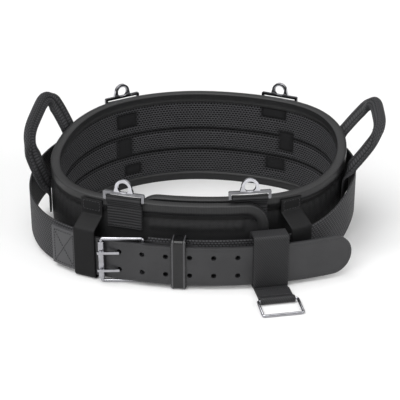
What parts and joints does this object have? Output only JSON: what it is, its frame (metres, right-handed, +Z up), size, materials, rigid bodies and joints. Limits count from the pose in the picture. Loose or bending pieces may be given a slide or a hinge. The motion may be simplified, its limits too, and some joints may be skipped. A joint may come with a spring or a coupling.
{
  "type": "tool belt",
  "caption": "Padded carpenter's tool belt with a leather front strap, roller buckle, hanger tape, carrying handles and steel rings for suspenders.",
  "frame": {"origin": "middle of the bounding box at the level the belt stands on", "axes": "+X to the wearer's left hand side as seen on the right of the picture, +Y to the back of the belt, +Z up; the buckle faces -Y"},
  "size_m": [0.393, 0.3453, 0.1575],
  "materials": {
    "pad_cover": "woven black nylon",
    "spacer_mesh": "black spacer mesh",
    "foam": "closed-cell foam",
    "binding_tape": "smooth black tape",
    "webbing": "ribbed black webbing",
    "leather": "black grained leather",
    "steel": "polished dark nickel"
  },
  "bodies": {
    "belt": {"pad_shell": "pad_cover", "pad_foam": "foam", "pad_liner": "spacer_mesh", "pad_binding_top": "binding_tape", "pad_binding_bottom": "binding_tape", "webbing_belt": "webbing", "tip_strap": "leather", "buckle_chape": "leather", "buckle_frame": "steel", "belt_loop_left": "webbing", "belt_loop_right": "webbing", "ring_tape_front_left": "webbing", "ring_tape_front_right": "webbing", "back_strap_left": "webbing", "back_strap_right": "webbing", "handle_tab_left_rear": "webbing", "handle_tab_left_front": "webbing", "handle_tab_right_rear": "webbing", "handle_tab_right_front": "webbing"},
    "roller": {"buckle_roller": "steel"},
    "prong_upper": {"prong_upper": "steel"},
    "prong_lower": {"prong_lower": "steel"},
    "keeper": {"keeper": "leather"},
    "hanger": {"hanger_strap": "webbing"},
    "hanger_ring": {"hanger_ring": "steel"},
    "ring_front_left": {"ring_front_left": "steel"},
    "ring_front_right": {"ring_front_right": "steel"},
    "ring_back_left": {"ring_back_left": "steel"},
    "ring_back_right": {"ring_back_right": "steel"},
    "handle_left": {"handle_left": "webbing"},
    "handle_right": {"handle_right": "webbing"}
  },
  "joints": [
    {"name": "roller_spin", "type": "hinge", "parent": "belt", "child": "roller", "pos_m": [-0.0982, -0.11018, 0.02725], "axis": [0, 0, 1], "continuous": true},
    {"name": "prong_upper_lift", "type": "hinge", "parent": "belt", "child": "prong_upper", "pos_m": [-0.05386, -0.10727, 0.03775], "axis": [0, 0, 1], "range_deg": [0, 6]},
    {"name": "prong_lower_lift", "type": "hinge", "parent": "belt", "child": "prong_lower", "pos_m": [-0.05386, -0.10727, 0.01675], "axis": [0, 0, 1], "range_deg": [0, 6]},
    {"name": "keeper_slide", "type": "hinge", "parent": "belt", "child": "keeper", "pos_m": [-0.00532, 0.21065, 0.02725], "axis": [0, 0, 1], "range_deg": [-2, 2]},
    {"name": "hanger_slide", "type": "hinge", "parent": "belt", "child": "hanger", "pos_m": [-0.00532, 0.21065, 0.02725], "axis": [0, 0, 1], "range_deg": [-4, 0.2]},
    {"name": "hanger_ring_swing", "type": "hinge", "parent": "hanger", "child": "hanger_ring", "pos_m": [0.09007, -0.14063, 0.0041], "axis": [-0.9651, -0.2621, 0], "range_deg": [0, 100]},
    {"name": "ring_front_left_swing", "type": "hinge", "parent": "belt", "child": "ring_front_left", "pos_m": [-0.07418, -0.09745, 0.0927], "axis": [0.9759, -0.2181, 0], "range_deg": [-75, 75]},
    {"name": "ring_front_right_swing", "type": "hinge", "parent": "belt", "child": "ring_front_right", "pos_m": [0.05709, -0.08295, 0.0927], "axis": [0.9781, 0.2079, 0], "range_deg": [-75, 75]},
    {"name": "ring_back_left_swing", "type": "hinge", "parent": "belt", "child": "ring_back_left", "pos_m": [-0.10709, 0.13969, 0.108], "axis": [-0.7986, -0.6018, 0], "range_deg": [-4, 90]},
    {"name": "ring_back_right_swing", "type": "hinge", "parent": "belt", "child": "ring_back_right", "pos_m": [0.08195, 0.15797, 0.108], "axis": [-0.9367, 0.3502, 0], "range_deg": [-4, 90]},
    {"name": "handle_left_swing", "type": "hinge", "parent": "belt", "child": "handle_left", "pos_m": [-0.15984, 0.07182, 0.097], "axis": [-0.1498, -0.9152, -0.3741], "range_deg": [-12, 35]},
    {"name": "handle_right_swing", "type": "hinge", "parent": "belt", "child": "handle_right", "pos_m": [0.15509, 0.08913, 0.097], "axis": [-0.0793, 0.9834, 0.1632], "range_deg": [-12, 35]}
  ]
}
